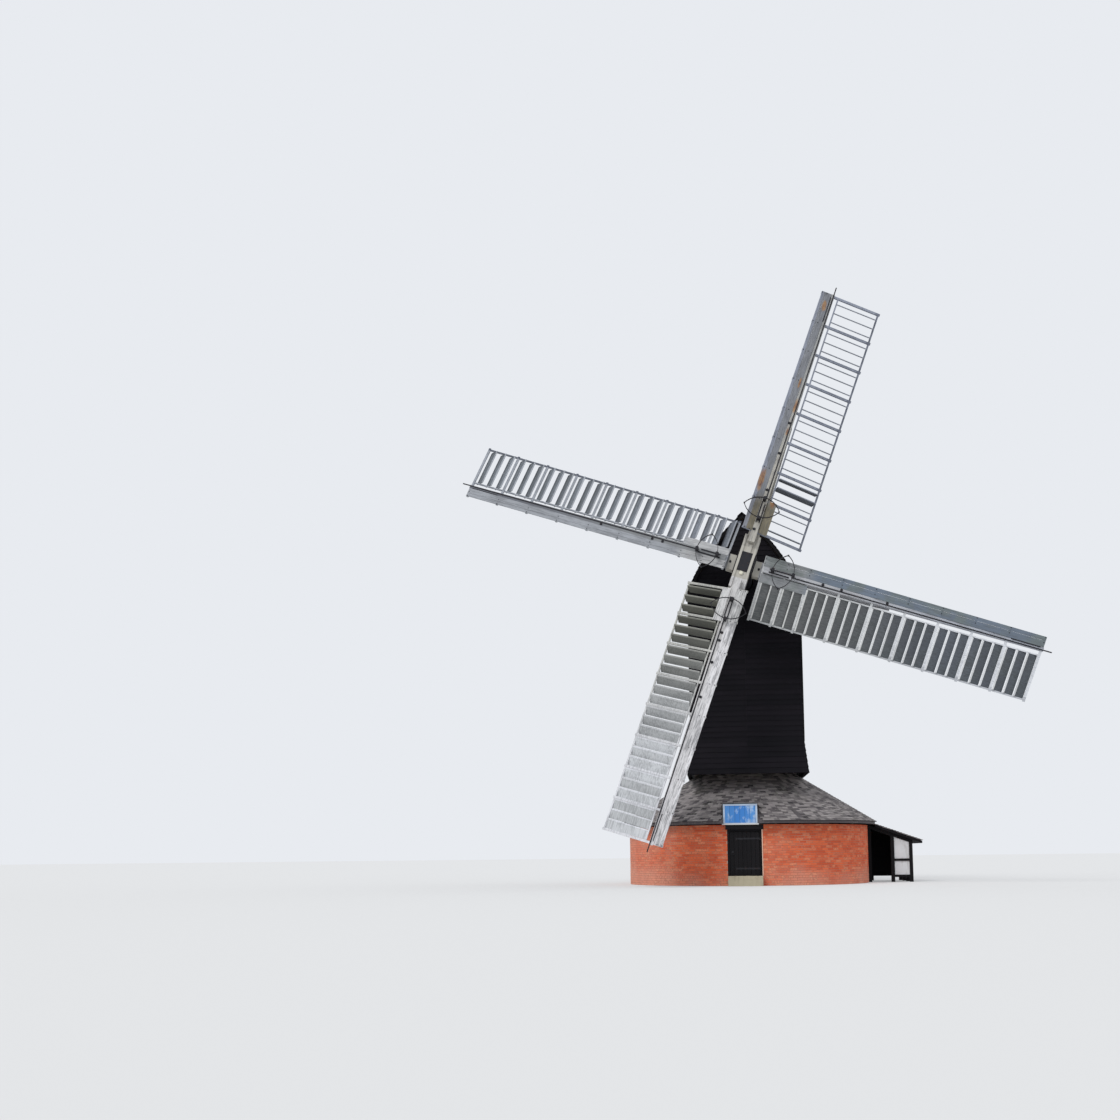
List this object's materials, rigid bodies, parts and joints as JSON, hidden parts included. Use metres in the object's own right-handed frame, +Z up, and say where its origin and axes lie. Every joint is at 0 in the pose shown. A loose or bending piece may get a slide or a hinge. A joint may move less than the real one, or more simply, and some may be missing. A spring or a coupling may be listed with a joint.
{
  "type": "post mill",
  "caption": "Traditional post windmill: tarred timber body with weathered spring sails, turning on a post over a round brick base with a lean-to.",
  "frame": {"origin": "on the post's axis at ground level, at the middle of the roundhouse floor's underside", "axes": "+Z up, -Y towards the front with the door and the sails, +X to the right of someone who stands in front, where the lean-to is"},
  "size_m": [17.4836, 14.1342, 18.4415],
  "materials": {
    "brick": "red brickwork, patched and weathered",
    "floor_brick": "worn brick paving",
    "stone_step": "worn pale stone",
    "roof_tile": "small dark tiles, mottled with lichen",
    "lean_to_tile": "dark boards and felt",
    "old_oak": "bare oak",
    "black_timber": "tarred timber",
    "white_infill": "limewashed infill",
    "tarred_board": "tarred weatherboard",
    "white_paint": "weathered white paint",
    "shutter_paint": "weathered pale paint on canvas-covered shutters",
    "blue_board": "blue paint",
    "black_iron": "painted iron"
  },
  "bodies": {
    "roundhouse": {"roundhouse_floor": "floor_brick", "wall_front_left": "brick", "wall_front_right": "brick", "wall_back_right": "brick", "wall_back_left": "brick", "wall_over_door": "brick", "door_step": "stone_step", "door_frame": "black_timber", "door_pins": "black_iron", "roof_left": "roof_tile", "roof_right": "roof_tile", "roof_rafters": "old_oak", "roof_curb": "old_oak", "light_frame": "white_paint", "light_board": "blue_board", "light_hood": "roof_tile", "lean_to_frame": "black_timber", "lean_to_roof": "lean_to_tile", "lean_to_panels": "white_infill", "brick_piers": "brick", "crosstrees": "old_oak", "quarter_bars": "old_oak", "main_post": "old_oak"},
    "door": {"door_leaf": "black_timber", "door_straps": "black_iron"},
    "mill_body": {"breast": "tarred_board", "body_side_left": "tarred_board", "body_side_right": "tarred_board", "tail_wall": "tarred_board", "tail_door": "tarred_board", "body_floor": "old_oak", "body_roof": "tarred_board", "body_skirt": "tarred_board", "crown_tree": "old_oak", "weather_beam": "old_oak", "tail_beam": "old_oak", "ladder_strings": "white_paint", "ladder_treads": "white_paint", "tail_pole": "white_paint"},
    "rotor": {"windshaft": "old_oak", "canister": "black_iron", "stock_front": "white_paint", "stock_rear": "white_paint", "stock_cheeks": "white_paint", "hub_plate": "black_iron", "hub_wedge": "white_paint", "whips": "white_paint", "leading_boards": "white_paint", "heel_boards": "white_paint", "sail_frame_a": "white_paint", "sail_frame_b": "white_paint", "sail_frame_c": "white_paint", "sail_frame_d": "white_paint", "shutters_a": "shutter_paint", "shutters_b": "shutter_paint", "shutters_c": "shutter_paint", "shutters_d": "shutter_paint", "springs": "black_iron", "shutter_rods": "black_iron"}
  },
  "joints": [
    {"name": "door_hinge", "type": "hinge", "parent": "roundhouse", "child": "door", "pos_m": [0.271, -3.847, 1], "axis": [0, 0, 1], "range_deg": [0, 100]},
    {"name": "body_turn", "type": "hinge", "parent": "roundhouse", "child": "mill_body", "pos_m": [0, 0, 5], "axis": [0, 0, 1], "range_deg": [-45, 45]},
    {"name": "sails_turn", "type": "hinge", "parent": "mill_body", "child": "rotor", "pos_m": [0, -4.5, 9.7], "axis": [0, -0.9954, 0.0958], "continuous": true}
  ]
}
